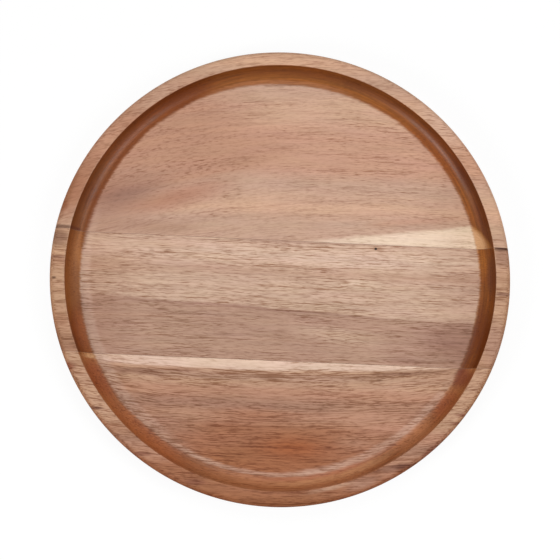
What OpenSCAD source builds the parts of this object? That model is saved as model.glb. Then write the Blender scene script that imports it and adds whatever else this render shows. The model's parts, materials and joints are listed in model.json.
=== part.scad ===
// Round wooden serving board for a pizza: three staves glued edge to edge, turned to a disc,
// then hollowed to a flat floor with a cove that climbs to a raised rim.
// Millimetres. The origin is the centre of the underside, +Z is up, and the grain runs along X.

/* [Board] */
// Diameter over the rounded side
board_d = 330; // [280:1:400]
// Thickness from the underside to the top of the rim
board_t = 20; // [15:0.5:30]
// Radius that rounds the side into the rim and into the underside
side_round_r = 4; // [1:0.5:6]

/* [Recess] */
// Depth of the floor below the top of the rim
recess_depth = 10; // [5:0.5:12]
// Width of the rim, from the side to the corner where the cove would meet the rim
rim_w = 11; // [9:0.5:20]
// Height of the cove's centre above the rim, which leans the top of the cove outwards
cove_lift = 2; // [0:0.5:5]
// Width of the small chamfer that eases the corner between the cove and the rim
lip_chamfer = 0.6; // [0.2:0.1:1.5]

/* [Staves] */
// Width of the front stave, from the front of the board to its glue line
front_stave_w = 101.5; // [60:0.5:120]
// Width of the middle stave, from glue line to glue line
middle_stave_w = 87.5; // [50:0.5:120]
// Thickness of each cured glue line
glue_t = 0.2; // [0.1:0.05:0.5]

/* [Hidden] */
$fn = 180;

// How far a cutting shape runs past what it cuts
overrun = 1;
board_r = board_d / 2;
floor_z = board_t - recess_depth;

// The cove is one arc, tangent to the floor, that ends at the corner of the rim.
cove_r = recess_depth + cove_lift;
rim_corner_r = board_r - rim_w;
cove_centre_r = rim_corner_r - sqrt(cove_r * cove_r - cove_lift * cove_lift);
cove_centre_z = floor_z + cove_r;

// Middles of the two glue lines, measured from the board's centre
front_glue_y = front_stave_w - board_r;
back_glue_y = front_glue_y + middle_stave_w;

// Half of the disc's section, before it is hollowed
module disc_section() {
    round_r = board_r - side_round_r;
    square([round_r, board_t]);
    translate([0, side_round_r]) square([board_r, board_t - 2 * side_round_r]);
    for (z = [side_round_r, board_t - side_round_r])
        translate([round_r, z]) circle(r = side_round_r);
}

// The corner that the chamfer takes off between the cove and the rim, run on into the recess
module lip_cut_section() {
    inner_r = rim_corner_r - overrun;
    outer_r = rim_corner_r + lip_chamfer;
    top_z = board_t + overrun;
    polygon([
        [inner_r, board_t - lip_chamfer - overrun],
        [outer_r, board_t],
        [outer_r, top_z],
        [inner_r, top_z]
    ]);
}

// Half of the recess's section: the flat floor, the cove and the eased lip
module recess_section() {
    translate([0, floor_z]) square([cove_centre_r, recess_depth + overrun]);
    intersection() {
        translate([cove_centre_r, cove_centre_z]) circle(r = cove_r);
        translate([0, floor_z]) square([board_r, recess_depth + overrun]);
    }
    lip_cut_section();
}

// The whole board as one turned body, from which every piece is cut
module turned_board() {
    rotate_extrude() difference() {
        disc_section();
        recess_section();
    }
}

// The slice of the board between two planes across the grain
module slice(from_y, to_y) {
    intersection() {
        turned_board();
        translate([-board_r - overrun, from_y, -overrun])
            cube([2 * (board_r + overrun), to_y - from_y, board_t + 2 * overrun]);
    }
}

// A film of glue centred on its own plane
module glue_line(at_y) {
    slice(at_y - glue_t / 2, at_y + glue_t / 2);
}

module back_stave() {
    color("#c39a80") slice(back_glue_y + glue_t / 2, board_r + overrun);
}

module middle_stave() {
    color("#c6a487") slice(front_glue_y + glue_t / 2, back_glue_y - glue_t / 2);
}

module front_stave() {
    color("#b5866c") slice(-board_r - overrun, front_glue_y - glue_t / 2);
}

module back_glue_line() {
    color("#6b4a36") glue_line(back_glue_y);
}

module front_glue_line() {
    color("#6b4a36") glue_line(front_glue_y);
}

back_stave();
middle_stave();
front_stave();
back_glue_line();
front_glue_line();
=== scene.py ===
"""Looks of a round pizza serving board: three staves of oiled wood, glued and turned with a raised rim.

Sizes and places are in millimetres on the board: x along the grain, y towards the back stave, z up from
the underside. The meshes are made in metres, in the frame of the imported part.
"""

import json
import math
from functools import partial
from typing import NamedTuple

import bmesh
import bpy
from mathutils import Matrix, Vector


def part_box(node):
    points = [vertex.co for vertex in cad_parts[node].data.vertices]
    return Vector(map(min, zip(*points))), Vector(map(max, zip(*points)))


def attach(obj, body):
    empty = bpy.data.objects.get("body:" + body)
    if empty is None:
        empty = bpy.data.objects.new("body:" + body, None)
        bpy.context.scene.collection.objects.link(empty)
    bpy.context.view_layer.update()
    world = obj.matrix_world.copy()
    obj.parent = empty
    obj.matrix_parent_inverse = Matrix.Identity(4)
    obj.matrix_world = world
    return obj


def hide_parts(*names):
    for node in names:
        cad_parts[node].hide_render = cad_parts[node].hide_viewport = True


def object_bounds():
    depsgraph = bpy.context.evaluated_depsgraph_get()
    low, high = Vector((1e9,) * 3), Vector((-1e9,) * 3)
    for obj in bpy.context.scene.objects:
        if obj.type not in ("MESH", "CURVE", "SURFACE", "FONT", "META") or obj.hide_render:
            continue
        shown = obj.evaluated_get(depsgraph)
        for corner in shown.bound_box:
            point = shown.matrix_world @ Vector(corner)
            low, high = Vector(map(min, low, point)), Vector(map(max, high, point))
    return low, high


MM = 0.001
MM_PER_M = 1000.0

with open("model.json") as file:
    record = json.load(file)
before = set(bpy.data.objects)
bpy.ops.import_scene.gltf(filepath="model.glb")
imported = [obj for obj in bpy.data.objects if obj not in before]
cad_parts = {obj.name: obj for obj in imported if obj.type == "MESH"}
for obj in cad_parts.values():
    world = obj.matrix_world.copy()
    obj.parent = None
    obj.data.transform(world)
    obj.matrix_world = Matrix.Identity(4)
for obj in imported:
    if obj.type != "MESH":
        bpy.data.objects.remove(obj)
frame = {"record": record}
cad_low, cad_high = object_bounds()


def mount_height(name):
    """The height of one of the record's mounts, in millimetres."""
    mount = next(m for m in frame["record"]["mounts"] if m["name"] == name)
    return mount["pos_m"][2] * MM_PER_M


# Sizes that the frame gives
BOARD_R = cad_high.x * MM_PER_M
BOARD_T = cad_high.z * MM_PER_M
FLOOR_Z = mount_height("serving_floor")
BACK_GLUE = [corner.y * MM_PER_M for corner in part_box("back_glue_line")]
FRONT_GLUE = [corner.y * MM_PER_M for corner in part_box("front_glue_line")]

# Sizes of the turned section
RIM_W = 11.0
COVE_LIFT = 2.0
LIP_ROUND_R = 0.9
SIDE_ROUND_R = 4.0
RECESS_DEPTH = BOARD_T - FLOOR_Z
COVE_R = RECESS_DEPTH + COVE_LIFT
RIM_CORNER_R = BOARD_R - RIM_W
COVE_CENTRE_R = RIM_CORNER_R - math.sqrt(COVE_R**2 - COVE_LIFT**2)
COVE_CENTRE_Z = FLOOR_Z + COVE_R

# How finely the section and the circle are divided
STEPS_AROUND = 480
FLOOR_RINGS = 26
COVE_STEPS = 22
LIP_STEPS = 6
ROUND_STEPS = 10
WALL_STEPS = 4
UNDERSIDE_RINGS = 14

# Each ring's first point lies this share of a step round from the x axis.
FIRST_STEP_SHARE = 0.5

# The sanded floor is never quite flat: a swell of this height and these lengths is left in it.
SANDING_SWELL = 0.04
SANDING_LENGTHS = (31.0, 23.0, 17.0)

# Points this close to a cut or to the floor count as lying on it.
CUT_SNAP = 0.002

# Faces that meet at more than this angle keep a sharp edge.
SHARP_ANGLE = math.radians(35)


def arc_points(centre_r, centre_z, radius, start_deg, stop_deg, steps):
    """Points of the section along an arc, with angles counted from outwards towards up."""
    points = []
    for i in range(steps + 1):
        angle = math.radians(start_deg + (stop_deg - start_deg) * i / steps)
        points.append((centre_r + radius * math.cos(angle), centre_z + radius * math.sin(angle)))
    return points


def flat_points(start_r, stop_r, height, steps):
    """Points of the section along a flat, without its first point."""
    return [(start_r + (stop_r - start_r) * i / steps, height) for i in range(1, steps + 1)]


def board_section():
    """Half the board's section, from the floor's middle over the rim to the middle of the underside."""
    lip_z = BOARD_T - LIP_ROUND_R
    lip_reach = COVE_R + LIP_ROUND_R
    lip_drop = COVE_CENTRE_Z - lip_z
    lip_r = COVE_CENTRE_R + math.sqrt(lip_reach**2 - lip_drop**2)
    lip_deg = math.degrees(math.asin(lip_drop / lip_reach))
    round_r = BOARD_R - SIDE_ROUND_R
    side_top = BOARD_T - SIDE_ROUND_R

    points = [(0.0, FLOOR_Z)]
    points += flat_points(0.0, COVE_CENTRE_R, FLOOR_Z, FLOOR_RINGS)
    points += arc_points(COVE_CENTRE_R, COVE_CENTRE_Z, COVE_R, -90, -lip_deg, COVE_STEPS)[1:]
    points += arc_points(lip_r, lip_z, LIP_ROUND_R, 180 - lip_deg, 90, LIP_STEPS)[1:]
    points += flat_points(lip_r, round_r, BOARD_T, WALL_STEPS)
    points += arc_points(round_r, side_top, SIDE_ROUND_R, 90, 0, ROUND_STEPS)[1:]
    for i in range(1, WALL_STEPS):
        points.append((BOARD_R, side_top + (SIDE_ROUND_R - side_top) * i / WALL_STEPS))
    points += arc_points(round_r, SIDE_ROUND_R, SIDE_ROUND_R, 0, -90, ROUND_STEPS)
    points += flat_points(round_r, 0.0, 0.0, UNDERSIDE_RINGS)
    return points


def sanding(x, y):
    """Height of the shallow swell that sanding leaves in the floor."""
    first, second, third = SANDING_LENGTHS
    waves = (math.sin(x / first + y / second), math.sin(x / second - y / third))
    return SANDING_SWELL * sum(waves) / len(waves)


def turned_board():
    """The whole board as one closed body of revolution, in millimetres."""
    body = bmesh.new()
    rings = []
    for radius, height in board_section():
        if radius == 0.0:
            rings.append([body.verts.new((0.0, 0.0, height))] * STEPS_AROUND)
            continue
        ring = []
        for i in range(STEPS_AROUND):
            angle = math.tau * (i + FIRST_STEP_SHARE) / STEPS_AROUND
            ring.append(body.verts.new((radius * math.cos(angle), radius * math.sin(angle), height)))
        rings.append(ring)
    for ring, following in zip(rings, rings[1:]):
        for i in range(STEPS_AROUND):
            after = (i + 1) % STEPS_AROUND
            corners = [ring[i], ring[after], following[after], following[i]]
            body.faces.new(list(dict.fromkeys(corners)))
    for vert in body.verts:
        if abs(vert.co.z - FLOOR_Z) < CUT_SNAP and vert.co.xy.length < COVE_CENTRE_R:
            vert.co.z += sanding(vert.co.x, vert.co.y)
    bmesh.ops.recalc_face_normals(body, faces=body.faces)
    return body


def new_object(name, data):
    """An object that shows this data in the scene."""
    obj = bpy.data.objects.new(name, data)
    bpy.context.scene.collection.objects.link(obj)
    return obj


def sliced_piece(name, body, low_y, high_y):
    """A closed piece of the board between two planes across the grain; None leaves a side uncut."""
    piece = body.copy()
    for plane_y, outwards in ((low_y, -1.0), (high_y, 1.0)):
        if plane_y is None:
            continue
        cut = bmesh.ops.bisect_plane(
            piece,
            geom=[*piece.verts, *piece.edges, *piece.faces],
            dist=CUT_SNAP,
            plane_co=(0.0, plane_y, 0.0),
            plane_no=(0.0, outwards, 0.0),
            clear_outer=True,
        )
        edges = [item for item in cut["geom_cut"] if isinstance(item, bmesh.types.BMEdge)]
        bmesh.ops.triangle_fill(piece, edges=edges, use_beauty=True, normal=(0.0, outwards, 0.0))
    bmesh.ops.recalc_face_normals(piece, faces=piece.faces)
    bmesh.ops.scale(piece, vec=(MM, MM, MM), verts=piece.verts)
    for face in piece.faces:
        face.smooth = True
    mesh = bpy.data.meshes.new(name)
    piece.to_mesh(mesh)
    piece.free()
    mesh.set_sharp_from_angle(angle=SHARP_ANGLE)
    return new_object(name, mesh)


def srgb(code):
    """A colour written as #rrggbb, brought by the sRGB curve to the linear numbers that shaders take."""
    channels = []
    for i in (1, 3, 5):
        value = int(code[i : i + 2], 16) / 255
        channels.append(value / 12.92 if value <= 0.04045 else ((value + 0.055) / 1.055) ** 2.4)
    return (*channels, 1.0)


Socket = bpy.types.NodeSocket

# Noise runs from 0 to 1 about this middle, with this much finer detail in it.
NOISE_MIDDLE = 0.5
NOISE_DETAIL = 2.0


class Graph:
    """Adds shader nodes to one tree, and hands back their output sockets."""

    def __init__(self, tree):
        self.tree = tree
        tree.nodes.clear()

    def add(self, kind, inputs, output=0, **settings):
        """Adds a node, links or sets its inputs, and hands back one of its outputs."""
        node = self.tree.nodes.new(kind)
        for name, value in settings.items():
            setattr(node, name, value)
        for key, value in inputs.items():
            if isinstance(value, Socket):
                self.tree.links.new(value, node.inputs[key])
            else:
                node.inputs[key].default_value = value
        return node.outputs[output] if node.outputs else None

    def math(self, operation, *values):
        return self.add("ShaderNodeMath", dict(enumerate(values)), operation=operation)

    def total(self, first, *rest):
        for value in rest:
            first = self.math("ADD", first, value)
        return first

    def product(self, first, *rest):
        for value in rest:
            first = self.math("MULTIPLY", first, value)
        return first

    def vector(self, operation, *values, output="Vector"):
        return self.add("ShaderNodeVectorMath", dict(enumerate(values)), output, operation=operation)

    def scaled(self, colour, factor):
        """The colour made lighter or darker."""
        return self.add("ShaderNodeVectorMath", {0: colour, "Scale": factor}, operation="SCALE")

    def parts(self, vector):
        node = self.tree.nodes.new("ShaderNodeSeparateXYZ")
        self.tree.links.new(vector, node.inputs[0])
        return node.outputs

    def joined(self, x, y, z):
        return self.add("ShaderNodeCombineXYZ", {"X": x, "Y": y, "Z": z})

    def fade(self, value, start, stop, most=1.0):
        """Rises smoothly from 0 at start to most at stop."""
        inputs = {"Value": value, "From Min": start, "From Max": stop, "To Min": 0.0, "To Max": most}
        return self.add("ShaderNodeMapRange", inputs, interpolation_type="SMOOTHSTEP")

    def stretched(self, vector, grain):
        """The vector, counted in these lengths along x, y and z."""
        return self.vector("MULTIPLY", vector, tuple(1.0 / length for length in grain))

    def noise(self, vector, grain):
        """Noise from 0 to 1 whose lumps have these lengths along x, y and z."""
        inputs = {"Vector": self.stretched(vector, grain), "Scale": 1.0, "Detail": NOISE_DETAIL}
        return self.add("ShaderNodeTexNoise", inputs)

    def cells(self, vector, grain):
        """Distance from the nearest of many scattered points, and each point's own random colour."""
        node = self.tree.nodes.new("ShaderNodeTexVoronoi")
        node.inputs["Scale"].default_value = 1.0
        self.tree.links.new(self.stretched(vector, grain), node.inputs["Vector"])
        return node.outputs["Distance"], node.outputs["Color"]

    def mix(self, factor, first, second, blend="MIX"):
        """Blends the second colour into the first; the numbers are the sockets that take colours."""
        inputs = {0: factor, 6: first, 7: second}
        return self.add("ShaderNodeMix", inputs, 2, data_type="RGBA", blend_type=blend)

    def ramp(self, factor, stops):
        """A colour that goes smoothly through the stops."""
        node = self.tree.nodes.new("ShaderNodeValToRGB")
        node.color_ramp.interpolation = "EASE"
        elements = node.color_ramp.elements
        while len(elements) < len(stops):
            elements.new(1.0)
        for element, (position, colour) in zip(elements, stops):
            element.position = position
            element.color = srgb(colour)
        self.tree.links.new(factor, node.inputs["Fac"])
        return node.outputs["Color"]

    def local(self, vector, at, turn_deg, reach):
        """The vector as seen from a place, turned about z and counted in reaches."""
        inputs = {
            "Vector": vector,
            "Location": at,
            "Rotation": (0.0, 0.0, math.radians(turn_deg)),
            "Scale": reach,
        }
        return self.add("ShaderNodeMapping", inputs, vector_type="TEXTURE")


def new_material(name):
    """A material with nothing in it yet, and the graph to fill it with."""
    material = bpy.data.materials.new(name)
    material.use_nodes = True
    return material, Graph(material.node_tree)


# A patch this deep goes through the whole board, and a zone this wide goes on beyond its edge.
ALL_THROUGH = 60.0
ENDLESS = 600.0

# A zone's bend and a sweep's fall are given over this length along the grain.
BEND_LENGTH = 100.0

# Share of the reach of a mark or an arc that has the full strength
CORE_SHARE = 0.25

# Colours of the wood, from the palest to the darkest
CREAM = "#e4ceba"
IVORY = "#d8bdae"
PALE_SAND = "#d1b5a4"
SAND = "#cbad9b"
PALE_ROSE = "#c7a28c"
FAWN = "#c4a795"
HONEY = "#c4966c"
PEACH = "#c09681"
ROSE = "#bd9c8a"
TAN = "#b9957e"
COPPER = "#b47751"
CLAY = "#b28771"
TAUPE = "#ac8b7a"
AMBER = "#a66038"
CARAMEL = "#a2683a"
DUSK = "#a27c69"
BRICK = "#a06a57"
CINNAMON = "#9e6c51"
CHESTNUT = "#9a6445"
MAUVE = "#977265"
SIENNA = "#96532c"
RUST = "#8c4726"
COCOA = "#8b6452"
SADDLE = "#885638"
WALNUT = "#7c4b39"
DARK_RUST = "#783820"
UMBER = "#6c3206"
COFFEE = "#653a29"
BURNT_UMBER = "#58240c"
BARK = "#4f2e1e"
SOOT = "#33261e"


class Patch(NamedTuple):
    """A soft lump of colour in the wood."""

    at: tuple  # its middle, x and y
    reach: tuple  # how far it spreads along and across
    colour: str
    strength: float
    turn: float = 0.0  # in degrees
    core_share: float = 0.0  # share of the reach that has the full strength
    level: float = FLOOR_Z  # height of its middle
    depth: float = ALL_THROUGH  # how far it spreads up and down


# A mark is a patch with a firm middle, laid on the cove or on the rim alone.
mark = partial(Patch, core_share=CORE_SHARE)


class Zone(NamedTuple):
    """Everything on one side of a line that runs roughly along the grain."""

    at: tuple  # a point of the line on the floor, x and y
    side: float  # 1 for what lies behind the line, -1 for what lies in front
    colour: str
    strength: float
    turn: float = 0.0  # in degrees
    bend: float = 0.0  # how far the line bends away over BEND_LENGTH
    soft: float = 3.0  # width of the faded edge
    ends_at: float = ENDLESS  # distance from the line at which the zone has faded away
    lean: float = 0.0  # how far the line moves to the front for each millimetre up
    starts: tuple = (-2 * BOARD_R, -BOARD_R)  # x where the zone begins, and where it is full


class Crowd(NamedTuple):
    """A place where fine lines and pores are stronger, or weaker where a number is negative."""

    at: tuple  # its middle, x and y
    reach: tuple  # how far it spreads along and across
    lines: dict  # what it adds to the strength of each kind of line
    pores: float  # what it adds to the strength of the pores
    turn: float = 0.0  # in degrees


class Sweep(NamedTuple):
    """Where the grain bends away towards one end of the board."""

    start: float  # x where the bend begins
    side: float  # -1 for what lies left of it, 1 for what lies right
    fall: float  # how far it bends to the front over the first BEND_LENGTH


class Stave(NamedTuple):
    """How one stave is drawn."""

    band_shares: tuple  # colours across the grain, by the share of the stave's width from its front edge
    lean: float  # how far the bands move to the front for each millimetre up
    sweeps: tuple
    zones: dict
    patches: dict
    cove_marks: dict  # drawn over what the oil and painted shade do
    rim_marks: dict  # drawn over what the oil does on the rim
    crowds: dict
    cove_oil_and_shade_tint: str  # what the oil and painted shade of the recess do to it in the cove, along the grain
    end_tint: str  # what the oil does further in the cove, across the end grain
    lip_shade_tint: str  # painted shade further still at the top of the cove
    rim_tint: str  # what it does on the rim
    lines: dict  # strength of each kind of line
    pores: float  # strength of its pores
    seed: float  # sets its noise apart from that of the other staves


BACK = Stave(
    band_shares=(
        (0.09, ROSE),
        (0.17, PALE_ROSE),
        (0.30, ROSE),
        (0.40, PEACH),
        (0.55, PEACH),
        (0.68, PALE_ROSE),
        (0.86, ROSE),
        (0.94, PALE_ROSE),
    ),
    lean=0.0,
    sweeps=(Sweep(50, -1, 8.0),),
    zones={
        "heart above the diagonal": Zone(
            at=(-65, 66.5), side=1, turn=16, bend=0.8, soft=7, ends_at=38, starts=(35, -45),
            colour=CLAY, strength=0.85,
        ),
        "cream sapwood wedge": Zone(
            at=(30, 25), side=-1, turn=7.6, bend=0.6, soft=4, lean=2.4, starts=(-10, 55),
            colour=CREAM, strength=0.95,
        ),
    },
    patches={
        "warm upper left": Patch((-90, 108), (95, 52), CLAY, 0.95, core_share=0.25),
        "dark heart at the left": Patch((-116, 52), (54, 19), MAUVE, 0.9, turn=20),
        "pink under the heart": Patch((-78, 53), (66, 13), BRICK, 0.7, turn=19),
        "pink streak over the wedge": Patch((95, 41.5), (80, 4), PEACH, 0.75, turn=7.5, depth=5),
        "duller left end": Patch((-95, 30), (55, 9), DUSK, 0.6),
        "paler gap over the wedge": Patch((48, 36), (28, 7), SAND, 0.5),
    },
    cove_marks={
        # painted shade on the top of the right cove, which lies in shadow
        "painted shade on the lip at the right": mark((144.5, 46), (4.5, 30), BURNT_UMBER, 0.5, turn=17),
        "golden cove at the wedge": mark((140, 30.6), (17, 7.5), HONEY, 0.9, turn=-51, core_share=0.5),
        # painted shade on the top of the cove at the upper right
        "painted shade on the lip at the upper right": mark((131.5, 76), (3.5, 24), BURNT_UMBER, 0.55, turn=30),
        "dark cove at the upper left": mark((-77, 128), (32, 12), UMBER, 0.8, turn=31),
        "dark cove at the left glue": mark((-151, 25), (8, 2.2), BURNT_UMBER, 0.85),
    },
    rim_marks={
        "pale upper right rim": mark((112, 113), (12, 34), PALE_ROSE, 0.8, turn=45),
        "pale upper left rim": mark((-95, 125), (12, 30), TAN, 0.7, turn=-53),
        "brown rim at the upper left": mark((-147, 58), (16, 44), CINNAMON, 0.85, turn=-24),
        "brown spot on the rim": mark((-150, 60), (6, 9), CINNAMON, 0.7, turn=-22),
        "rusty spot on the rim": mark((-158, 41), (5, 6), DARK_RUST, 0.7),
        "orange edge at the upper left": mark((-156, 48), (5, 30), SADDLE, 0.6, turn=-17),
        "dark rim at the left glue": mark((-158, 25), (16, 2.4), BARK, 0.75),
    },
    crowds={
        "ticked left": Crowd(
            (-85, 78), (130, 80), lines={"middling": -0.4, "short": -0.4, "ticks": 0.72}, pores=-0.2
        ),
        "plain left end": Crowd(
            (-124, 42), (50, 32), lines={"long": -0.2, "middling": -0.35, "short": -0.45}, pores=-0.1
        ),
        "lined right": Crowd((100, 92), (75, 50), lines={"middling": 0.3, "short": 0.3}, pores=0.0),
        "plain wedge": Crowd(
            (100, 30), (80, 9), lines={"middling": -0.45, "short": -0.45}, pores=-0.25, turn=7
        ),
    },
    cove_oil_and_shade_tint="#b38344",
    end_tint="#f6eede",
    lip_shade_tint="#e2d6c6",
    rim_tint="#fffcf6",
    lines={"long": 0.2, "middling": 0.65, "short": 0.75, "ticks": 0.1},
    pores=0.3,
    seed=11.0,
)

MIDDLE = Stave(
    band_shares=(
        (0.0, ROSE),
        (0.45, FAWN),
        (0.66, FAWN),
        (0.73, ROSE),
        (0.8, SAND),
        (0.88, PALE_SAND),
        (1.0, SAND),
    ),
    lean=0.0,
    sweeps=(),
    zones={
        "mauve heartwood": Zone(
            at=(0, -26.5), side=-1, turn=-2.2, bend=0.4, soft=3.0, lean=3.0, colour=TAUPE, strength=0.97,
        ),
    },
    patches={
        "pale right of the middle": Patch((60, 11), (90, 9), IVORY, 0.7),
        "paler heartwood": Patch((42, -44), (42, 10), FAWN, 0.8, turn=-6),
        "dark edge under the back glue": Patch((0, 23.3), (165, 1.7), TAUPE, 0.75, depth=5),
        "boundary line": Patch((-10, -26.5), (150, 1.6), MAUVE, 0.7, turn=-2.2, depth=5),
        "grey end at the right": Patch((132, -46), (50, 22), MAUVE, 0.8, core_share=0.1, depth=5),
        "duller left end": Patch((-125, 2), (50, 26), TAN, 0.35),
        "darker upper left": Patch((-85, 17), (42, 7), TAN, 0.5),
        "pale middle": Patch((56, -6), (28, 6), CREAM, 0.5),
        "darker heartwood at the right": Patch((92, -59), (24, 5), MAUVE, 0.5),
        "halo of the pin knot": Patch((69, 20.6), (9, 2.2), TAN, 0.7, core_share=0.1, depth=5),
        "pin knot": Patch((68, 20.5), (1.35, 1.15), SOOT, 1.0, core_share=0.45, depth=5),
    },
    cove_marks={
        # painted light: the left cove faces the light
        "painted light in the left cove": mark((-148, -8), (10, 46), CARAMEL, 0.9),
        # painted shade: the right cove faces away from the light
        "dark cove at the right": mark((146, -37), (9, 28), UMBER, 0.8),
        # painted shade on the top of the right cove, which lies in shadow
        "painted shade on the lip at the right": mark((152.5, 6), (5, 26), COFFEE, 0.5),
        "dark speck in the left cove": mark((-143.5, 13), (2.6, 1.3), BARK, 0.7),
        "dark middle of the left cove": mark((-145.5, -22), (7, 34), BURNT_UMBER, 0.4, turn=8),
        "orange cove at the lower left": mark((-140, -48), (11, 24), SIENNA, 0.7, turn=18),
    },
    rim_marks={
        "speck on the left rim": mark((-161, -12), (2.4, 1.3), BARK, 0.85),
        "mauve left rim": mark((-160, 17), (11, 10), COFFEE, 0.6),
        "line on the left rim": mark((-160, 3), (9, 1.5), COCOA, 0.7),
        "mauve right rim": mark((159, 17), (13, 11), COCOA, 0.65),
        "dark edge of the right rim": mark((159, 23.6), (16, 2.6), BARK, 1.0),
        "dark line on the right rim": mark((160, -10), (11, 1.8), COCOA, 0.8),
        "red lower left rim": mark((-153, -41), (7, 8), SADDLE, 0.4),
        "olive right rim": mark((152, -44), (14, 24), DUSK, 0.75),
    },
    crowds={
        "dashed upper left": Crowd((-85, 12), (75, 15), lines={"middling": 0.3}, pores=0.4),
    },
    cove_oil_and_shade_tint="#c1934c",
    end_tint="#ead4b0",
    lip_shade_tint="#dccdba",
    rim_tint="#eee0d0",
    lines={"long": 0.9, "smears": 0.1, "middling": 1.0, "short": 0.9},
    pores=0.4,
    seed=37.0,
)

FRONT = Stave(
    band_shares=(
        (0.28, CHESTNUT),
        (0.40, CINNAMON),
        (0.52, CINNAMON),
        (0.60, CLAY),
        (0.70, DUSK),
        (0.78, CLAY),
        (0.86, TAN),
    ),
    lean=2.8,
    sweeps=(Sweep(-20, -1, -4.0), Sweep(-20, 1, -4.0)),
    zones={
        "cream strip at the glue": Zone(
            at=(0, -70), side=1, turn=1.2, bend=2.2, soft=2.4, lean=-1.0, starts=(150, 105),
            colour=IVORY, strength=0.92,
        ),
    },
    patches={
        "dark pore band": Patch((-10, -74.6), (150, 4.2), TAUPE, 0.6, turn=0.6, core_share=0.3, depth=6),
        "dark streak at the left": Patch((-104, -75), (32, 3.4), COCOA, 0.85, depth=6),
        "second dark streak": Patch((-66, -72.6), (20, 2.2), COCOA, 0.7, turn=2, depth=6),
        "mauve line under the strip": Patch((88, -69), (54, 3.2), COCOA, 0.8, turn=5.5, depth=6),
        "golden middle": Patch((-14, -103), (48, 9), CINNAMON, 0.75, depth=8),
        "golden foot": Patch((-18, -128), (42, 9), SADDLE, 0.7, turn=4, depth=8),
        "mauve left": Patch((-76, -110), (40, 18), DUSK, 0.7),
        "red patch": Patch((14, -124), (40, 13), SIENNA, 0.8, depth=8),
        "dark end of the cream strip": Patch((131, -66), (10, 2.8), WALNUT, 0.75, turn=31, depth=8),
        "pinker right": Patch((78, -102), (52, 26), CLAY, 0.85),
        "paler lower right": Patch((58, -119), (22, 7), CLAY, 0.6),
    },
    cove_marks={
        # painted light: the front cove faces the light from behind the board
        "painted light in the cove at the foot": mark((18, -147), (105, 28), COPPER, 0.8),
        "pale cove at the lower left": mark((-90, -118), (52, 12), AMBER, 0.75, turn=-38),
        "red cove at the left": mark((-126, -81), (26, 11), RUST, 0.8, turn=-57),
        "orange cove at the lower right": mark((97, -113), (26, 11), COPPER, 0.4, turn=41),
        "red cove at the lower right": mark((121, -89), (20, 9), RUST, 0.7, turn=53),
        "dark cove at the right": mark((131, -70), (13, 12), DARK_RUST, 0.8),
        "cream foot of the left cove": mark((-132, -65.6), (8, 2), HONEY, 0.7),
    },
    rim_marks={
        "mauve left rim": mark((-147, -74), (9, 4.5), DARK_RUST, 0.7),
        "line on the left rim": mark((-125, -102), (8, 1.3), COFFEE, 0.85),
        "dull foot of the left rim": mark((-41, -155), (13, 4.5), SADDLE, 0.4, turn=-15),
        "dark lower left rim": mark((-92, -132), (11, 2.4), WALNUT, 0.75),
        "mauve bottom left rim": mark((-55, -150), (14, 3.2), WALNUT, 0.7),
        "orange bottom rim": mark((5, -161), (70, 5), SADDLE, 0.8),
        "pale edge of the bottom rim": mark((40, -150), (26, 2.6), TAN, 0.7, turn=15),
        "dark streak across the lower right rim": mark((86, -134.5), (22, 3.4), COFFEE, 0.95, turn=11),
        "olive lower right rim": mark((62, -146), (18, 6), DUSK, 0.7, turn=20),
        "pale lower right rim": mark((79, -138), (10, 6), CLAY, 0.4, turn=30),
        "red lower right rim": mark((108, -123), (14, 3), WALNUT, 0.75, turn=42),
        "dark lines on the right rim": mark((131, -97), (9, 2), WALNUT, 0.8),
        "second dark line on the right rim": mark((127, -103), (8, 1.3), WALNUT, 0.8),
    },
    crowds={
        "pore band": Crowd(
            (-30, -74.8), (125, 5.5), lines={"smears": 1.5, "middling": 0.5}, pores=0.6, turn=0.6
        ),
        "pore band at the right": Crowd(
            (80, -71.5), (65, 5.5), lines={"smears": 0.7, "middling": 0.4, "ticks": 0.8}, pores=0.6,
            turn=5.5,
        ),
        "plain cream strip": Crowd(
            (0, -66.5), (160, 4.5), lines={"long": -1.2, "middling": -0.7, "short": -0.6}, pores=-0.35
        ),
    },
    cove_oil_and_shade_tint="#f6eddc",
    end_tint="#e6c8a2",
    lip_shade_tint="#fcf6ee",
    rim_tint="#fffefc",
    lines={"long": 1.2, "smears": 0.1, "middling": 1.25, "short": 1.1},
    pores=0.4,
    seed=61.0,
)


class Heading(NamedTuple):
    """A stretch round the board, to both sides of a direction from its centre."""

    degrees: float  # the direction
    from_share: float  # cosine of the angle off this direction where it begins
    full_share: float  # and where it is full


class OilAndShadeEdge(NamedTuple):
    """A stretch of the cove where its tint of oil and painted shade runs further onto the floor, or less
    far.
    """

    heading: Heading
    further: float  # how much further, or less far where it is negative


class Arc(NamedTuple):
    """A soft line of colour round a stretch of the cove or of the floor's edge."""

    heading: Heading
    out: float  # how far out from the cove's foot it lies
    reach: float  # how far it spreads to each side
    colour: str
    strength: float


class Wave(NamedTuple):
    """A wave in the grain or in an edge."""

    grain: tuple  # its length along, across and through the board
    height: float  # from its lowest place to its highest


class Streaks(NamedTuple):
    """Streaks of one width."""

    grain: tuple  # length of a streak along, across and through the board
    share: float  # how far it changes the colour


class Pores(NamedTuple):
    """Short dark dashes."""

    spacing: tuple  # distance between them along, across and through the board
    fill_share: float  # share of that distance that a dash reaches
    core_share: float  # share of its reach where a dash is full
    kept_share: float  # share of the places that hold a dash


# Each stave's noise is moved by its seed times these.
SEED_STEPS = (10.0, 3.0, 7.0)

# The grain wanders and ripples, and the edges of its colours are feathered.
WANDER = Wave((120.0, 40.0, 40.0), 5.0)
RIPPLE = Wave((22.0, 7.0, 7.0), 1.8)
FEATHER = Wave((16.0, 2.2, 2.2), 1.6)

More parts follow.
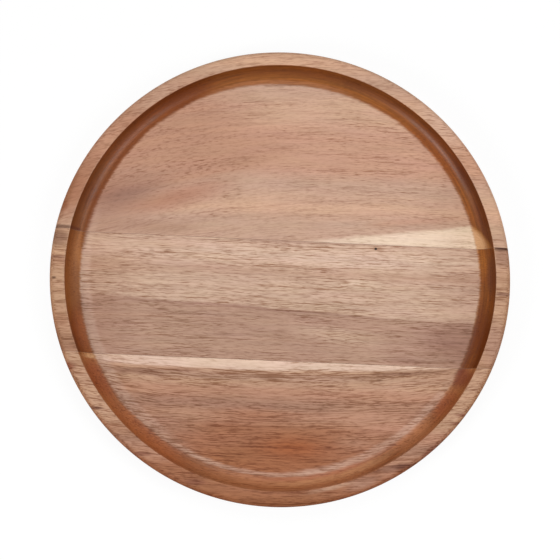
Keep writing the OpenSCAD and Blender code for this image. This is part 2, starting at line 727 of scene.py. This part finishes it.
# Broad streaks lighten and darken the wood, fine lines and pores only darken it.
BROAD_STREAKS = {
    "wide": Streaks((130.0, 6.0, 6.0), 0.11),
    "narrow": Streaks((50.0, 2.2, 2.2), 0.10),
    "cloudy": Streaks((28.0, 14.0, 14.0), 0.06),
}
FINE_LINES = {
    "long": Streaks((110.0, 0.95, 0.95), 0.5),
    "smears": Streaks((24.0, 2.2, 2.2), 0.7),
    "middling": Streaks((14.0, 0.78, 0.78), 0.72),
    "short": Streaks((5.0, 0.6, 0.6), 0.65),
    "ticks": Streaks((4.6, 1.4, 1.4), 0.7),
}
PORES = Pores((12.0, 1.25, 1.25), fill_share=0.28, core_share=1 / 3, kept_share=0.45)
LINE_TINT = "#b79f8d"
PORE_TINT = "#9a7e69"

# A line begins where the noise passes the first of these levels, and is full at the second.
LINE_LEVELS = (0.46, 0.76)

# Lines gather in groups of this size, which begin and are full at these levels of the noise. One share
# of them is everywhere. The groups cover about half of the wood, so they get twice the rest.
GROUP_GRAIN = (55.0, 9.0, 9.0)
GROUP_LEVELS = (0.3, 0.7)
SCATTERED_SHARE = 0.6
GATHERED_SHARE = 2.0 * (1.0 - SCATTERED_SHARE)

# The rim shows this share more of the lines, and the cove keeps this share of them.
RIM_LINES_SHARE = 0.12
COVE_LINES_SHARE = 0.55

# The cove has flecks of its own, and streaks that the cutter and the oil left round it.
COVE_FLECKS = Streaks((4.0, 1.6, 1.6), 0.13)
TURNED_STREAKS = Streaks((36.0, 36.0, 1.6), 0.6)

# The colour drifts between a golden and a pink cast over these lengths.
CAST_GRAIN = (45.0, 9.0, 9.0)
CAST_TINTS = ("#f9faec", "#fbf4f5")

# The cutter left the cove's edge a little uneven.
EDGE = Wave((30.0, 30.0, 30.0), 2.0)
FUZZ = Wave((9.0, 1.2, 1.2), 2.4)

# Steps outwards where a part of the section begins and where it is full: the oil and painted shade from the
# cove's foot, the painted shade of the lip from the rim's corner, and the side from the board's edge
OIL_AND_SHADE_FADE = (0.8, 3.5)
LIP_SHADE = (-7.0, -1.0)
SIDE_FADE = (-5.0, -0.5)

# The recess and the rim give way to each other over this length.
LIP_FADE = 0.7

# Shares of the rim's width where the mask of the recess has ended, and up to which it may be full
OVER_RIM_SHARES = (0.5, 0.25)

# The cove crosses the end grain where x is more than the first share of the radius, fully at the second.
END_GRAIN_SHARES = (0.15, 0.8)

# Where the cove's tint of oil and painted shade reaches further onto the floor, or less far
OIL_AND_SHADE_EDGES = {
    "upper right": OilAndShadeEdge(Heading(60, 0.5, 0.85), 1.3),
    "back": OilAndShadeEdge(Heading(90, 0.9, 0.97), 0.6),
    "upper left": OilAndShadeEdge(Heading(152, 0.7, 0.95), 0.7),
    "lower left": OilAndShadeEdge(Heading(222, 0.35, 0.8), -1.2),
    "lower right": OilAndShadeEdge(Heading(315, 0.9, 0.98), -0.7),
}

# Painted shade: the floor is darker towards the ends of the grain, with a tint for each sign of x.
FLOOR_END_SHADE_FADE = (92.0, 142.0)
FLOOR_END_SHADE_TINTS = {-1: "#f0e8e4", 1: "#f2edea"}

# Painted sheen lightens the floor's edge and the cove's foot at the left and the front, where they catch
# the light, and painted shade darkens the top of the back cove. The other arcs make stretches of the cove
# darker or paler.
ARCS = {
    "painted sheen at the left": Arc(Heading(205, 0.68, 0.95), -1.2, 5.0, PALE_SAND, 0.25),
    "painted sheen at the lower left": Arc(Heading(228, 0.8, 0.97), 0.8, 2.8, PALE_ROSE, 0.3),
    "painted highlight at the foot": Arc(Heading(266, 0.86, 0.97), 1.0, 2.4, PALE_SAND, 0.35),
    "painted sheen at the lower right": Arc(Heading(302, 0.86, 0.97), 0.6, 4.0, PALE_SAND, 0.32),
    "dark foot of the cove": Arc(Heading(156, 0.92, 0.985), 2.6, 2.3, UMBER, 0.6),
    "dark foot at the left": Arc(Heading(167, 0.985, 0.998), 2.0, 3.2, UMBER, 0.35),
    "dark foot at the right": Arc(Heading(344, 0.93, 0.99), 4.4, 3.2, BURNT_UMBER, 0.3),
    "golden foot at the back": Arc(Heading(94, 0.9, 0.985), 2.7, 1.9, COPPER, 0.35),
    # painted shade at the top of the back cove
    "painted shade at the top of the back cove": Arc(Heading(75, 0.8, 0.96), 8.8, 3.0, BURNT_UMBER, 0.25),
    "dark foot at the front": Arc(Heading(281, 0.95, 0.99), 4.4, 2.4, RUST, 0.45),
    "pale middle at the front": Arc(Heading(287, 0.93, 0.985), 7.2, 3.0, HONEY, 0.25),
    "dull top of the cove": Arc(Heading(158, 0.92, 0.985), 9.8, 2.4, SADDLE, 0.28),
}

# The side is duller than the rim, and painted shade makes it darker at the front, which faces away from the
# light.
SIDE_SHADE_TINT = "#dfcdbc"
SIDE_HEADING = Heading(270, -0.3, 0.4)

# The oil shines most in the cove and least on the side, and unevenly along the grain.
WOOD_ROUGHNESS = 0.5
COVE_ROUGHNESS = 0.34
SIDE_ROUGHNESS = 1.0
ROUGHNESS_SPREAD = 0.12
WOOD_SHINE = 0.2

# Lines and pores are sunk into the wood.
PORE_DEPTH = 0.08 * MM
BUMP_STRENGTH = 0.5


def in_millimetres(graph):
    """The place on the object, in millimetres."""
    place = graph.add("ShaderNodeTexCoord", {}, "Object")
    return graph.vector("MULTIPLY", place, (MM_PER_M,) * 3)


def across(graph, place, rise):
    """The place, moved across the grain."""
    return graph.vector("ADD", place, graph.joined(0.0, rise, 0.0))


def swing(graph, place, grain):
    """Noise about zero, half of it to each side."""
    return graph.math("SUBTRACT", graph.noise(place, grain), NOISE_MIDDLE)


def sway(graph, place, wave):
    """How far a wave moves the place."""
    return graph.product(swing(graph, place, wave.grain), wave.height)


def waver(graph, place, streaks):
    """How far streaks lighten or darken the place: up to their share to each side of zero."""
    return graph.product(swing(graph, place, streaks.grain), streaks.share / NOISE_MIDDLE)


def lump(graph, place, at, turn, reach, core_share=0.0, strength=1.0):
    """Falls from strength inside the core to 0 at the reach."""
    local = graph.local(place, at, turn, reach)
    distance = graph.vector("LENGTH", local, output="Value")
    return graph.fade(distance, 1.0, core_share, strength)


def patch_colour(graph, colour, place, patch, part=1.0):
    """Lays a patch over the colour, on all of the board or where a part of it is."""
    at = (*patch.at, patch.level)
    reach = (*patch.reach, patch.depth)
    mask = lump(graph, place, at, patch.turn, reach, patch.core_share, patch.strength)
    return graph.mix(graph.product(mask, part), colour, srgb(patch.colour))


def zone_colour(graph, colour, place, zone):
    """Lays a colour over one side of a bent line."""
    local = graph.local(place, (*zone.at, FLOOR_Z), zone.turn, (BEND_LENGTH, 1.0, 1.0))
    along, aside, through = graph.parts(local)
    line = graph.math("SUBTRACT", graph.product(along, along, zone.bend), graph.product(through, zone.lean))
    beyond = graph.product(graph.math("SUBTRACT", aside, line), zone.side)
    half = zone.soft / 2
    edge = graph.fade(beyond, -half, half, zone.strength)
    far = graph.fade(beyond, zone.ends_at, half)
    length = graph.fade(graph.parts(place)[0], *zone.starts)
    return graph.mix(graph.product(edge, far, length), colour, srgb(zone.colour))


def drawn_colour(graph, place, stave, low_y, high_y):
    """The stave's broad colours: its bands across the grain, then its zones and patches."""
    _, y, z = graph.parts(place)
    leaning = graph.total(y, graph.product(graph.math("SUBTRACT", z, FLOOR_Z), stave.lean))
    share = graph.math("DIVIDE", graph.math("SUBTRACT", leaning, low_y), high_y - low_y)
    colour = graph.ramp(share, stave.band_shares)
    for zone in stave.zones.values():
        colour = zone_colour(graph, colour, place, zone)
    for patch in stave.patches.values():
        colour = patch_colour(graph, colour, place, patch)
    return colour


def swept(graph, place, stave):
    """The place, with the bend of the stave's grain taken out."""
    x = graph.parts(place)[0]
    for sweep in stave.sweeps:
        beyond = graph.product(graph.math("SUBTRACT", x, sweep.start), sweep.side)
        lengths = graph.math("DIVIDE", graph.math("MAXIMUM", beyond, 0.0), BEND_LENGTH)
        place = across(graph, place, graph.product(lengths, lengths, sweep.fall))
    return place


class Places(NamedTuple):
    """One place on the board, as each layer of the drawing sees it."""

    board: Socket  # where it lies
    feathered: Socket  # for marks, whose edges are ragged
    wavy: Socket  # for broad colours, which follow the waves of the grain as well
    figure: Socket  # for lines and pores, which follow the waves and the sweeps


def stave_places(graph, stave):
    """Finds the place in each of these ways."""
    board = in_millimetres(graph)
    seed = tuple(stave.seed * step for step in SEED_STEPS)
    seeded = graph.vector("ADD", board, seed)
    waves = graph.total(sway(graph, seeded, WANDER), sway(graph, seeded, RIPPLE))
    feathered = across(graph, board, sway(graph, seeded, FEATHER))
    wavy = across(graph, feathered, waves)
    figure = graph.vector("ADD", across(graph, swept(graph, board, stave), waves), seed)
    return Places(board, feathered, wavy, figure)


def crowd_masks(graph, place, stave):
    """Where the stave's crowds are, with each crowd."""
    masks = []
    for crowd in stave.crowds.values():
        reach = (*crowd.reach, ALL_THROUGH)
        masks.append((crowd, lump(graph, place, (*crowd.at, FLOOR_Z), crowd.turn, reach)))
    return masks


def line_mask(graph, place, stave, crowds):
    """The stave's fine lines of every kind, with its crowds."""
    layers = []
    for kind, streaks in FINE_LINES.items():
        strength = stave.lines.get(kind, 0.0)
        for crowd, mask in crowds:
            if kind in crowd.lines:
                strength = graph.total(graph.product(mask, crowd.lines[kind]), strength)
        lines = graph.fade(graph.noise(place, streaks.grain), *LINE_LEVELS, streaks.share)
        layers.append(graph.product(lines, strength))
    return graph.total(*layers)


def pore_mask(graph, place, stave, crowds):
    """The stave's pores, each with its own strength, with its crowds."""
    strength = stave.pores
    for crowd, mask in crowds:
        strength = graph.total(graph.product(mask, crowd.pores), strength)
    distance, tone = graph.cells(place, PORES.spacing)
    dash = graph.fade(distance, PORES.fill_share, PORES.fill_share * PORES.core_share)
    kept = graph.fade(graph.parts(tone)[0], 1.0 - PORES.kept_share, 1.0)
    return graph.product(dash, kept, strength)


class Spot(NamedTuple):
    """A place on the turned board, with its distance from the axis."""

    x: Socket
    y: Socket
    z: Socket
    radius: Socket


class Ring(NamedTuple):
    """Where each part of the turned section is: sockets that go from 0 to 1."""

    cove: Socket
    lip: Socket  # the top of the cove, where shade is painted
    end_grain: Socket  # the part of the cove that crosses the end grain
    rim: Socket
    side: Socket
    # painted shade on the front of the side
    front_side_shade: Socket
    shaded_floor_ends: dict  # painted shade at the floor's ends, by the sign of x
    arcs: dict  # by name


def turned(graph, place):
    """The place as the turner met it: round the board at the rim's corner, and then outwards and up."""
    x, y, z = graph.parts(place)
    level = graph.joined(x, y, 0.0)
    around = graph.scaled(graph.vector("NORMALIZE", level), RIM_CORNER_R)
    outwards = graph.total(graph.vector("LENGTH", level, output="Value"), z)
    return graph.vector("ADD", around, graph.joined(0.0, 0.0, outwards))


def facing(graph, spot, heading):
    """1 where the board faces the heading, and 0 where it faces away."""
    angle = math.radians(heading.degrees)
    forward = graph.total(graph.product(spot.x, math.cos(angle)), graph.product(spot.y, math.sin(angle)))
    along = graph.math("DIVIDE", forward, spot.radius)
    return graph.fade(along, heading.from_share, heading.full_share)


def fade_from(graph, radius, start, steps):
    """Rises from 0 to 1 between two steps outwards from a start."""
    return graph.fade(radius, *(start + step for step in steps))


def recess_mask(graph, spot):
    """1 on the floor and on the cove."""
    below_lip = graph.fade(spot.z, BOARD_T, BOARD_T - LIP_FADE)
    above_underside = graph.fade(spot.z, FLOOR_Z - LIP_FADE, FLOOR_Z - LIP_FADE / 2)
    within_rim = graph.fade(spot.radius, *(RIM_CORNER_R + RIM_W * share for share in OVER_RIM_SHARES))
    return graph.product(below_lip, above_underside, within_rim)


def arc_masks(graph, spot, uneven, inside):
    """Where each of the arcs is, by its name."""
    masks = {}
    for name, arc in ARCS.items():
        off = graph.math("ABSOLUTE", graph.math("SUBTRACT", uneven, COVE_CENTRE_R + arc.out))
        line = graph.fade(off, arc.reach, arc.reach * CORE_SHARE, arc.strength)
        masks[name] = graph.product(inside, line, facing(graph, spot, arc.heading))
    return masks


def ring_masks(graph, place):
    """Finds the parts of the turned section by radius, height and direction."""
    x, y, z = graph.parts(place)
    radius = graph.vector("LENGTH", graph.joined(x, y, 0.0), output="Value")
    spot = Spot(x, y, z, radius)
    uneven = graph.total(radius, sway(graph, place, EDGE), sway(graph, place, FUZZ))
    oiled = uneven
    for edge in OIL_AND_SHADE_EDGES.values():
        oiled = graph.total(oiled, graph.product(facing(graph, spot, edge.heading), edge.further))

    inside = recess_mask(graph, spot)
    cove = graph.product(inside, fade_from(graph, oiled, COVE_CENTRE_R, OIL_AND_SHADE_FADE))
    lip = graph.product(cove, fade_from(graph, radius, RIM_CORNER_R, LIP_SHADE))
    along = graph.math("ABSOLUTE", graph.math("DIVIDE", x, radius))
    end_grain = graph.product(cove, graph.fade(along, *END_GRAIN_SHARES))
    upper = graph.fade(z, SIDE_ROUND_R, BOARD_T - SIDE_ROUND_R)
    rim = graph.product(upper, graph.fade(radius, RIM_CORNER_R, RIM_CORNER_R + LIP_FADE))
    side = fade_from(graph, radius, BOARD_R, SIDE_FADE)
    front_side_shade = graph.product(side, facing(graph, spot, SIDE_HEADING))
    floor = graph.math("SUBTRACT", inside, cove)
    shaded_floor_ends = {}
    for sign in FLOOR_END_SHADE_TINTS:
        shaded_floor_ends[sign] = graph.product(floor, graph.fade(graph.product(x, sign), *FLOOR_END_SHADE_FADE))
    arcs = arc_masks(graph, spot, uneven, inside)
    return Ring(cove, lip, end_grain, rim, side, front_side_shade, shaded_floor_ends, arcs)


def grain_masks(graph, places, stave, ring):
    """The stave's lines and its pores, gathered in groups and fainter in the cove."""
    crowds = crowd_masks(graph, places.board, stave)
    groups = graph.fade(graph.noise(places.figure, GROUP_GRAIN), *GROUP_LEVELS, GATHERED_SHARE)
    groups = graph.total(groups, graph.product(ring.rim, RIM_LINES_SHARE), SCATTERED_SHARE)
    outside_cove = graph.math("SUBTRACT", 1.0, graph.product(ring.cove, 1.0 - COVE_LINES_SHARE))
    lines = graph.product(line_mask(graph, places.figure, stave, crowds), groups, outside_cove)
    pores = graph.product(pore_mask(graph, places.figure, stave, crowds), outside_cove)
    return lines, pores


def tinted(graph, colour, tints):
    """Lays tints over the colour, each where its mask is."""
    for mask, tint in tints:
        colour = graph.mix(mask, colour, srgb(tint), "MULTIPLY")
    return colour


def streaked_colour(graph, colour, places, ring):
    """Adds broad streaks, the streaks and flecks of the cove, and the drift from gold to pink."""
    tone = 1.0
    for streaks in BROAD_STREAKS.values():
        tone = graph.total(waver(graph, places.figure, streaks), tone)
    flecks = waver(graph, places.figure, COVE_FLECKS)
    rounds = waver(graph, turned(graph, places.board), TURNED_STREAKS)
    cove_tone = graph.product(graph.total(flecks, rounds), ring.cove)
    colour = graph.scaled(colour, graph.total(tone, cove_tone))
    gold, pink = (srgb(code) for code in CAST_TINTS)
    cast = graph.mix(graph.noise(places.figure, CAST_GRAIN), gold, pink)
    return graph.mix(1.0, colour, cast, "MULTIPLY")


def oil_and_painted_light_colour(graph, colour, places, stave, ring):
    """Adds what turning, sanding and oil did, with painted shade and sheen: the tints, then the marks and
    the arcs over them.
    """
    tints = [
        # oil and painted shade in the cove
        (ring.cove, stave.cove_oil_and_shade_tint),
        (ring.end_grain, stave.end_tint),
        (ring.rim, stave.rim_tint),
        # painted shade on the front of the side
        (ring.front_side_shade, SIDE_SHADE_TINT),
    ]
    # painted shade at the floor's ends
    tints += [(ring.shaded_floor_ends[sign], tint) for sign, tint in FLOOR_END_SHADE_TINTS.items()]
    colour = tinted(graph, colour, tints)
    for marks, part in ((stave.cove_marks, ring.cove), (stave.rim_marks, ring.rim)):
        for patch in marks.values():
            colour = patch_colour(graph, colour, places.feathered, patch, part)
    # Arcs, among them painted sheen and painted shade
    for name, arc in ARCS.items():
        colour = graph.mix(ring.arcs[name], colour, srgb(arc.colour))
    # Painted shade at the top of the cove
    return tinted(graph, colour, [(ring.lip, stave.lip_shade_tint)])


def wood_roughness(graph, figure, ring):
    """Smoother in the cove, rougher on the side, and uneven along the grain."""
    return graph.total(
        WOOD_ROUGHNESS,
        graph.product(ring.cove, COVE_ROUGHNESS - WOOD_ROUGHNESS),
        graph.product(ring.side, SIDE_ROUGHNESS - WOOD_ROUGHNESS),
        graph.product(swing(graph, figure, BROAD_STREAKS["narrow"].grain), ROUGHNESS_SPREAD),
    )


def wood_material(name, stave, low_y, high_y):
    """Oiled wood, drawn as a solid so that the figure runs on round every edge."""
    material, graph = new_material(name)
    places = stave_places(graph, stave)
    ring = ring_masks(graph, places.board)
    lines, pores = grain_masks(graph, places, stave, ring)
    sunk = graph.product(graph.total(lines, pores), -1.0)
    bump = graph.add("ShaderNodeBump", {"Strength": BUMP_STRENGTH, "Distance": PORE_DEPTH, "Height": sunk})
    colour = drawn_colour(graph, places.wavy, stave, low_y, high_y)
    colour = streaked_colour(graph, colour, places, ring)
    colour = oil_and_painted_light_colour(graph, colour, places, stave, ring)
    colour = tinted(graph, colour, [(lines, LINE_TINT), (pores, PORE_TINT)])
    shader = graph.add(
        "ShaderNodeBsdfPrincipled",
        {
            "Base Color": colour,
            "Roughness": wood_roughness(graph, places.figure, ring),
            "Normal": bump,
            "Specular IOR Level": WOOD_SHINE,
        },
    )
    graph.add("ShaderNodeOutputMaterial", {"Surface": shader})
    return material


GLUE_COLOURS = ("#4a3022", "#6e4a34")
GLUE_GRAIN = (18.0, 4.0, 4.0)
GLUE_ROUGHNESS = 0.5


def glue_material():
    """Cured glue, thin enough that the wood's colour shows through it here and there."""
    material, graph = new_material("cured_glue")
    dark, pale = (srgb(code) for code in GLUE_COLOURS)
    colour = graph.mix(graph.noise(in_millimetres(graph), GLUE_GRAIN), dark, pale)
    shader = graph.add("ShaderNodeBsdfPrincipled", {"Base Color": colour, "Roughness": GLUE_ROUGHNESS})
    graph.add("ShaderNodeOutputMaterial", {"Surface": shader})
    return material


def set_in_frame(piece, node, material):
    """Gives a piece its material, and puts it on the frame in place of its node."""
    piece.data.materials.append(material)
    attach(piece, "root")
    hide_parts(node)


def make_board():
    """The five pieces: three staves of wood and two films of glue."""
    body = turned_board()
    staves = (
        ("back_stave", BACK, BACK_GLUE[1], None, "back_wood"),
        ("middle_stave", MIDDLE, FRONT_GLUE[1], BACK_GLUE[0], "middle_wood"),
        ("front_stave", FRONT, None, FRONT_GLUE[0], "front_wood"),
    )
    for node, stave, low_y, high_y, slot in staves:
        piece = sliced_piece(node + "_wood", body, low_y, high_y)
        low = -BOARD_R if low_y is None else low_y
        high = BOARD_R if high_y is None else high_y
        set_in_frame(piece, node, wood_material(slot, stave, low, high))
    glue = glue_material()
    for node, (low_y, high_y) in (("back_glue_line", BACK_GLUE), ("front_glue_line", FRONT_GLUE)):
        piece = sliced_piece(node + "_film", body, low_y, high_y)
        set_in_frame(piece, node, glue)
    body.free()


# The camera stands over the front of the board, a little to the left, and looks almost straight down.
CAMERA_TILT = math.radians(9.2)
CAMERA_AZIMUTH = math.radians(-10.7)
CAMERA_ROLL = math.radians(-2.26)
CAMERA_DISTANCE = 700.0
CAMERA_AIM = (-1.18, -6.69)
CAMERA_LENS = 63.2
SENSOR_W = 36.0


def make_camera():
    """A camera at the photograph's viewing angle."""
    data = bpy.data.cameras.new("camera")
    data.lens = CAMERA_LENS
    data.sensor_width = SENSOR_W
    camera = new_object("camera", data)
    lean = math.sin(CAMERA_TILT)
    back = Vector(
        (lean * math.sin(CAMERA_AZIMUTH), -lean * math.cos(CAMERA_AZIMUTH), math.cos(CAMERA_TILT))
    )
    level = (-back).cross(Vector((0.0, 1.0, 0.0))).normalized()
    rise = level.cross(-back)
    right = level * math.cos(CAMERA_ROLL) - rise * math.sin(CAMERA_ROLL)
    up = level * math.sin(CAMERA_ROLL) + rise * math.cos(CAMERA_ROLL)
    eye = (Vector((*CAMERA_AIM, BOARD_T)) + back * CAMERA_DISTANCE) * MM
    turn = Matrix((right, up, back)).transposed().to_4x4()
    camera.matrix_world = Matrix.Translation(eye) @ turn
    bpy.context.scene.camera = camera


# The floor reaches this far each way, in metres. This share of it is white near the board whatever the
# light, so that a faint shadow shows, and it clears to white between these distances from the middle.
FLOOR_HALF = 4.0
FLOOR_COLOUR = (0.9, 0.9, 0.9, 1.0)
FLOOR_GLOW_SHARE = 0.9
CLEAR_OF_SHADOW = (200.0, 450.0)
WHITE = (1.0, 1.0, 1.0, 1.0)


def seen_directly(graph):
    """1 for the rays that see the background itself: from the camera, a gloss or clear glass."""
    path = graph.tree.nodes.new("ShaderNodeLightPath").outputs
    seen = graph.math("MAXIMUM", path["Is Camera Ray"], path["Is Glossy Ray"])
    return graph.math("MAXIMUM", seen, path["Is Transmission Ray"])


def make_floor():
    """A plain white floor that keeps the board's shadow, which fades out away from the board."""
    mesh = bpy.data.meshes.new("floor")
    corners = [(x * FLOOR_HALF, y * FLOOR_HALF, 0.0) for x, y in ((-1, -1), (1, -1), (1, 1), (-1, 1))]
    mesh.from_pydata(corners, [], [(0, 1, 2, 3)])
    floor = new_object("floor", mesh)
    material, graph = new_material("floor")
    plain = graph.add("ShaderNodeBsdfDiffuse", {"Color": FLOOR_COLOUR})
    glow = graph.add("ShaderNodeEmission", {"Color": WHITE, "Strength": 1.0})
    away = graph.vector("LENGTH", in_millimetres(graph), output="Value")
    clear = graph.fade(away, *CLEAR_OF_SHADOW, 1.0 - FLOOR_GLOW_SHARE)
    share = graph.product(seen_directly(graph), graph.total(clear, FLOOR_GLOW_SHARE))
    surface = graph.add("ShaderNodeMixShader", {0: share, 1: plain, 2: glow})
    graph.add("ShaderNodeOutputMaterial", {"Surface": surface})
    mesh.materials.append(material)


class Lamp(NamedTuple):
    """A soft box that points at the board."""

    at: tuple  # where it stands, in metres
    size: tuple  # its width and height, in metres
    power: float  # in watts


LAMPS = {
    "back": Lamp((0.0, 0.6, 1.22), (0.9, 0.6), 6.3),
    "left": Lamp((-0.9, -0.61, 0.77), (0.4, 0.4), 9.0),
    "right": Lamp((0.83, -0.28, 0.94), (0.6, 0.6), 7.8),
}
WORLD_LEVEL = 0.3


def make_lights():
    """A broad soft light behind, a small one to each side, and a pale room around them."""
    for name, lamp in LAMPS.items():
        data = bpy.data.lights.new(name, "AREA")
        data.shape = "RECTANGLE"
        data.size, data.size_y = lamp.size
        data.energy = lamp.power
        light = new_object(name, data)
        light.location = lamp.at
        light.rotation_mode = "QUATERNION"
        light.rotation_quaternion = Vector(lamp.at).to_track_quat("Z", "Y")
    world = bpy.data.worlds.new("studio")
    world.use_nodes = True
    bpy.context.scene.world = world
    graph = Graph(world.node_tree)
    level = graph.math("MAXIMUM", seen_directly(graph), WORLD_LEVEL)
    room = graph.add("ShaderNodeBackground", {"Color": WHITE, "Strength": level})
    graph.add("ShaderNodeOutputWorld", {"Surface": room})


make_camera()
make_board()
make_floor()
make_lights()
bpy.context.scene.view_settings.view_transform = "Standard"
